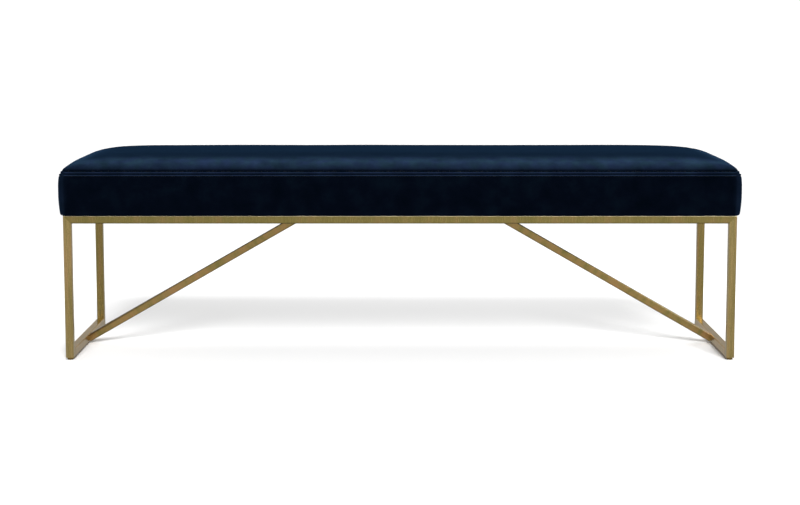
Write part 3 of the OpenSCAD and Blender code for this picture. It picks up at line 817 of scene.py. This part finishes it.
def sheet_sag(p):
    """How far the dust cloth hangs at p. It is held by the rails, and by its staples beside them."""
    held = FRAME_W / 2 - STAPLE_IN - SAG_IN
    across = max(0, 1 - (p.y / held) ** 2)
    inner = CROSS_X - TUBE / 2
    outer_from, outer_to = CROSS_X + TUBE / 2, FRAME_L / 2 - STAPLE_IN - SAG_IN
    if abs(p.x) < inner:
        along = 1 - (p.x / inner) ** 2
    elif outer_from < abs(p.x) < outer_to:
        share = (abs(p.x) - outer_from) / (outer_to - outer_from)
        along = 4 * share * (1 - share)
    else:
        along = 0
    wave = 1 + 0.5 * noise.noise(Vector((p.x / 0.12, p.y / 0.12, 4.7)))
    return DUST_SAG * across ** 0.7 * along * wave


def staples(material):
    """Staples through the dust cloth and the turned-under cover into the deck, in a row just inside the rails. Each is
    a bar with both ends bent up."""
    half_x, half_y = FRAME_L / 2 - STAPLE_IN, FRAME_W / 2 - STAPLE_IN
    wire = STAPLE_WIRE
    bm = bmesh.new()
    for length, at, turn in [(2 * half_x, (0, -half_y), 0), (2 * half_y, (half_x, 0), 90),
                             (2 * half_x, (0, half_y), 180), (2 * half_y, (-half_x, 0), 270)]:
        count = round(length / STAPLE_GAP)
        for k in range(count):
            drift = 1.5 * MM * noise.noise(Vector((k * 1.7, turn, 0.5)))
            tilt = math.radians(turn + 6 * noise.noise(Vector((k * 2.3, turn, 8.5))))
            along = (k + 0.5) / count * length - length / 2
            side = (Matrix.Translation((at[0], at[1], FRAME_TOP - wire / 2))
                    @ Matrix.Rotation(math.radians(turn), 4, "Z"))
            place = (side @ Matrix.Translation((along, drift, 0))
                     @ Matrix.Rotation(tilt - math.radians(turn), 4, "Z"))
            bar = bmesh.new()
            bmesh.ops.create_cube(bar, size=1, matrix=Matrix.Diagonal((STAPLE_L, 1.2 * wire, wire, 1)))
            long_edges = [e for e in bar.edges if abs(e.verts[0].co.x - e.verts[1].co.x) > wire]
            bmesh.ops.subdivide_edges(bar, edges=long_edges, cuts=2, use_grid_fill=True)
            # The two cuts move out to one wire's thickness from the ends, where the legs stand.
            for v in bar.verts:
                if abs(v.co.x) < STAPLE_L / 4:
                    v.co.x *= (STAPLE_L / 2 - wire) / (STAPLE_L / 6)
            roofs = [f for f in bar.faces
                     if f.normal.z > 0.9 and abs(f.calc_center_median().x) > STAPLE_L / 2 - wire]
            legs = bmesh.ops.extrude_discrete_faces(bar, faces=roofs)["faces"]
            bmesh.ops.translate(bar, verts=[v for f in legs for v in f.verts], vec=(0, 0, STAPLE_LEG))
            bmesh.ops.transform(bar, matrix=place, verts=bar.verts)
            bmesh.ops.recalc_face_normals(bar, faces=bar.faces)
            add_copy(bm, bar)
    mesh_piece("staples", bm, material, smooth=False)


def glide_stud(corner, material):
    """The threaded stud of a glide: a tooth spun up a helix, cut level at both ends and tapered at its tip."""
    low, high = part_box(corner + "_glide_stud")
    centre = (low + high) / 2
    # An M6 thread: its pitch is 1 mm, and its tooth is 0.61 of the pitch deep.
    major = (high.x - low.x) / 2
    pitch = 1 * MM
    minor = major - 0.61 * pitch
    turns = math.ceil((high.z - low.z) / pitch) + 2
    steps = 24
    bm = bmesh.new()
    section = [bm.verts.new((centre.x + r, centre.y, low.z - pitch + pitch * share))
               for r, share in [(minor, 0), (minor, 0.12), (major, 0.46), (major, 0.54), (minor, 0.88), (minor, 1)]]
    tooth = section + [bm.edges.new(pair) for pair in zip(section, section[1:])]
    bmesh.ops.spin(bm, geom=tooth, cent=(centre.x, centre.y, 0), axis=(0, 0, 1), dvec=(0, 0, pitch / steps),
                   angle=2 * math.pi * turns, steps=steps * turns)
    bmesh.ops.remove_doubles(bm, verts=bm.verts, dist=0.01 * MM)
    for level, up in [(low.z, -1), (high.z, 1)]:
        cut = bmesh.ops.bisect_plane(bm, geom=bm.verts[:] + bm.edges[:] + bm.faces[:], dist=0.001 * MM,
                                     plane_co=(0, 0, level), plane_no=(0, 0, up), clear_outer=True)
        loop = [g for g in cut["geom_cut"] if isinstance(g, bmesh.types.BMEdge)]
        bmesh.ops.holes_fill(bm, edges=loop, sides=0)
    taper = 1.2 * MM
    for v in bm.verts:
        out = v.co.xy - centre.xy
        limit = max(minor * 0.75, major - max(0, v.co.z - (high.z - taper)))
        if out.length > limit:
            v.co.xy = centre.xy + out.normalized() * limit
    bmesh.ops.recalc_face_normals(bm, faces=bm.faces)
    piece = mesh_piece(corner + "_threaded_stud", bm, material, corner + "_glide", smooth=False)
    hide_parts(corner + "_glide_stud")


def make_camera():
    """The camera of the photograph, as fitted to the frame's edges in it."""
    data = bpy.data.cameras.new("Camera")
    data.lens = CAMERA_LENS
    data.sensor_width = 36
    camera = bpy.data.objects.new("Camera", data)
    camera.location = CAMERA_PLACE
    camera.rotation_euler = (CAMERA_TILT, 0, 0)
    bpy.context.scene.collection.objects.link(camera)
    bpy.context.scene.camera = camera


def make_stage():
    """A plain pale floor, a soft key light from the front, a softbox high behind the bench and a pale surround."""
    bm = bmesh.new()
    bmesh.ops.create_grid(bm, x_segments=1, y_segments=1, size=FLOOR_HALF)
    mesh = bpy.data.meshes.new("floor")
    bm.to_mesh(mesh)
    bm.free()
    floor = bpy.data.objects.new("floor", mesh)
    bpy.context.scene.collection.objects.link(floor)
    mesh.materials.append(floor_paper("floor_paper"))
    floor.visible_glossy = False

    sun = bpy.data.lights.new("key", "SUN")
    sun.energy = KEY_STRENGTH
    sun.angle = KEY_SOFTNESS
    key = bpy.data.objects.new("key", sun)
    key.rotation_euler = (math.pi / 2 - KEY_ELEVATION, 0, KEY_TURN)
    bpy.context.scene.collection.objects.link(key)

    # The strip stands low in front, on the right, and draws a bright line along the upper edges of the tubes.
    for name, place, size, power in [("back_softbox", BACK_PLACE, BACK_SIZE, BACK_POWER),
                                     ("front_strip", STRIP_PLACE, STRIP_SIZE, STRIP_POWER)]:
        panel = bpy.data.lights.new(name, "AREA")
        panel.shape = "RECTANGLE"
        panel.size, panel.size_y = size
        panel.energy = power
        light = bpy.data.objects.new(name, panel)
        light.location = place
        light.rotation_euler = (Vector((0, 0, FRAME_TOP)) - Vector(place)).to_track_quat("-Z", "Y").to_euler()
        light.visible_camera = False
        bpy.context.scene.collection.objects.link(light)

    # The surround is white at the horizon, grey above, and darker still below, where only metal reflects it.
    world = bpy.data.worlds.new("surround")
    world.use_nodes = True
    tree = world.node_tree
    tree.nodes.clear()
    way = add(tree, "SeparateXYZ", {"Vector": add(tree, "TexCoord").outputs["Generated"]})
    height = add(tree, "MapRange", {"Value": way.outputs["Z"], "From Min": -1.0, "From Max": 1.0})
    level = add(tree, "ValToRGB", {"Fac": height.outputs["Result"]}, stops=SURROUND)
    glow = add(tree, "Background", {"Color": level.outputs["Color"], "Strength": SURROUND_STRENGTH})
    add(tree, "OutputWorld", {"Surface": glow.outputs["Background"]})
    bpy.context.scene.world = world
    bpy.context.scene.view_settings.view_transform = "Standard"


# The tones differ from tube to tube, partly as painted shade and reflection: the top rails, under the cushion, are
# darker than the legs and braces.
RAIL = Brushing(("8b7e48", "92834d", "9b8453"), (30, 60), True, rubbed=0.55, shiny=(0.25, 0.28))
FLOOR_RAIL = Brushing(("b5904f", "c39a5b", "cb9d5e"), (22, 60), True, shiny=(0.11, 0.2), glancing="ecefe8")
FRONT_LEG = Brushing(("9e8d58", "b09a64", "bc9d6b"), (120, 7), False)
REAR_LEG = Brushing(("90814a", "9c8952", "a78a58"), (120, 7), False)
BRACE = Brushing(("968a50", "b1965d", "be9764"), (18, 30), True, shiny=(0.2, 0.26))
# The left brace has painted shade along its upper face.
TOP_SHADED_BRACE = BRACE._replace(tarnish=0.7)


def finish_frame():
    """Brushed brass on every tube. The belt crossed the rails and the braces, and followed the legs. The floor rails
    are smoother than the rest, and mirror the feet of the legs and braces that stand on them."""
    quarter = math.pi / 2
    brace_low, brace_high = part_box("right_brace")
    rise = brace_high.z - brace_low.z - TUBE / 2
    slope = math.atan2(rise, brace_high.x - brace_low.x)
    tubes = {"front_top_rail": ((0, 0, 0), RAIL), "rear_top_rail": ((0, 0, 0), RAIL),
             "left_brace": ((0, -slope, 0), TOP_SHADED_BRACE), "right_brace": ((0, slope, 0), BRACE)}
    for side in ("left", "right"):
        tubes[side + "_end_rail"] = tubes[side + "_cross_rail"] = ((0, 0, quarter), RAIL)
        tubes[side + "_floor_rail"] = ((0, 0, quarter), FLOOR_RAIL)
    for corner in CORNERS:
        tubes[corner + "_leg"] = ((0, -quarter, 0), FRONT_LEG if corner.startswith("front") else REAR_LEG)
    for number, (name, (turn, brushing)) in enumerate(tubes.items()):
        low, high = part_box(name)
        seed = number * 3.7
        finish_node(name, brushed_brass("brushed_brass_" + name, (low + high) / 2, turn, seed, brushing))


make_camera()
make_stage()
finish_frame()

turned_brass = grained("turned_brass", ("6f5930", "8a7142"), 0.36, metallic=1.0, grain=0.5, depth=0.02)
zinc = grained("zinc_plated_steel", ("a3a7ac", "c6c9cd"), 0.35, metallic=1.0, grain=1.5, depth=0.02)
thread = grained("polyester_thread", ("03060c", "070d18"), 0.6, grain=0.3, depth=0.05)
for corner in CORNERS:
    finish_node(corner + "_glide_base", turned_brass)
    glide_stud(corner, zinc)
for name in ("leg_inserts", "tee_nuts", "seat_screws", "seat_washers"):
    finish_node(name, zinc)
finish_node("seat_deck", birch_plywood("birch_plywood", DECK_LOW.z, ply=1.15 * MM))

foam_block()
batting_layer()
velvet_cover()
stitch_row("lower_stitches", band_inset(LOW_STITCH_H) + GROOVE - THREAD_OUT, SEAT_Z + LOW_STITCH_H, thread)
stitch_row("upper_stitches", STITCH_E + GROOVE - THREAD_OUT, STITCH_Z + THREAD_UP, thread)
dust_sheet(spunbonded_cloth("spunbonded_dust_cloth"))
staples(zinc)
